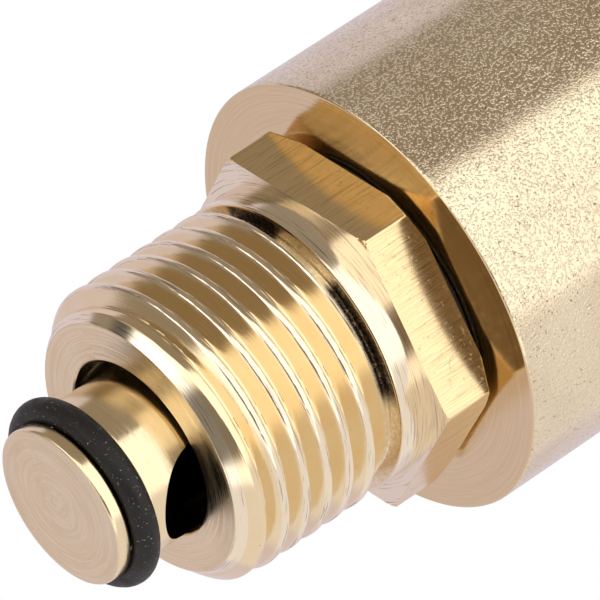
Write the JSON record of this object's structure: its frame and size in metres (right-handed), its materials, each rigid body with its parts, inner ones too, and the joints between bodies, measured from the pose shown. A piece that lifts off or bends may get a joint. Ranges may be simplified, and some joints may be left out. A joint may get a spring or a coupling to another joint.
{
  "type": "automatic air vent",
  "caption": "Float-type automatic air vent in brass: plain cylinder, knurled cap on top, and a threaded isolating valve with a spring-loaded shutter below.",
  "frame": {"origin": "centre of the inlet thread's open end", "axes": "+Z along the vent's axis, from the inlet thread up to the cap; -Y square to one flat of both hexagons"},
  "size_m": [0.0308, 0.0308, 0.0924],
  "materials": {
    "turned_brass": "machined, bright",
    "cast_brass": "sand-blasted, satin",
    "stainless_steel": "bright",
    "seal_rubber": "matte",
    "cap_plastic": "moulded, matte",
    "mechanism_plastic": "moulded, satin"
  },
  "bodies": {
    "valve": {"valve_body": "turned_brass", "shutter_spring": "stainless_steel"},
    "shutter": {"shutter": "turned_brass", "shutter_oring": "seal_rubber"},
    "gasket": {"body_gasket": "seal_rubber"},
    "vent": {"vent_body": "cast_brass", "cover": "turned_brass", "cover_oring": "seal_rubber", "nozzle": "turned_brass", "nozzle_gasket": "seal_rubber", "lever_bracket": "mechanism_plastic", "bracket_screw_1": "stainless_steel", "bracket_screw_2": "stainless_steel", "lever_pin": "stainless_steel", "pin_clip": "stainless_steel"},
    "lever": {"lever_arm": "stainless_steel", "obturator": "seal_rubber"},
    "float": {"float": "mechanism_plastic", "float_link": "stainless_steel"},
    "cap_seal": {"cap_seal": "seal_rubber"},
    "cap": {"vent_cap": "cap_plastic"}
  },
  "joints": [
    {"name": "shutter_travel", "type": "slide", "parent": "valve", "child": "shutter", "axis": [0, 0, 1], "range_m": [0, 0.00395], "deforming": ["shutter_spring"]},
    {"name": "vent_lift", "type": "slide", "parent": "valve", "child": "gasket", "axis": [0, 0, 1], "range_m": [0, 0.0039]},
    {"name": "vent_unscrew", "type": "hinge", "parent": "gasket", "child": "vent", "pos_m": [0, 0, 0.02], "axis": [0, 0, 1], "range_deg": [0, 1051]},
    {"name": "float_rise", "type": "slide", "parent": "vent", "child": "float", "axis": [0, 0, 1], "range_m": [0, 0.00256]},
    {"name": "lever_swing", "type": "hinge", "parent": "vent", "child": "lever", "pos_m": [-0.0085, 0, 0.0638], "axis": [0, -1, 0], "range_deg": [0, 17.6]},
    {"name": "cap_lift", "type": "slide", "parent": "vent", "child": "cap_seal", "axis": [0, 0, 1], "range_m": [0, 0.0025]},
    {"name": "cap_unscrew", "type": "hinge", "parent": "cap_seal", "child": "cap", "pos_m": [-0.0038, 0, 0.08], "axis": [0, 0, 1], "range_deg": [0, 901]}
  ],
  "couplings": [
    {"joint": "shutter_travel", "follows": "vent_lift", "ratio": 1},
    {"joint": "vent_unscrew", "follows": "vent_lift", "rad_per_m": 4699.5},
    {"joint": "lever_swing", "follows": "float_rise", "rad_per_m": 119.31},
    {"joint": "cap_unscrew", "follows": "cap_lift", "rad_per_m": 6283.2}
  ]
}
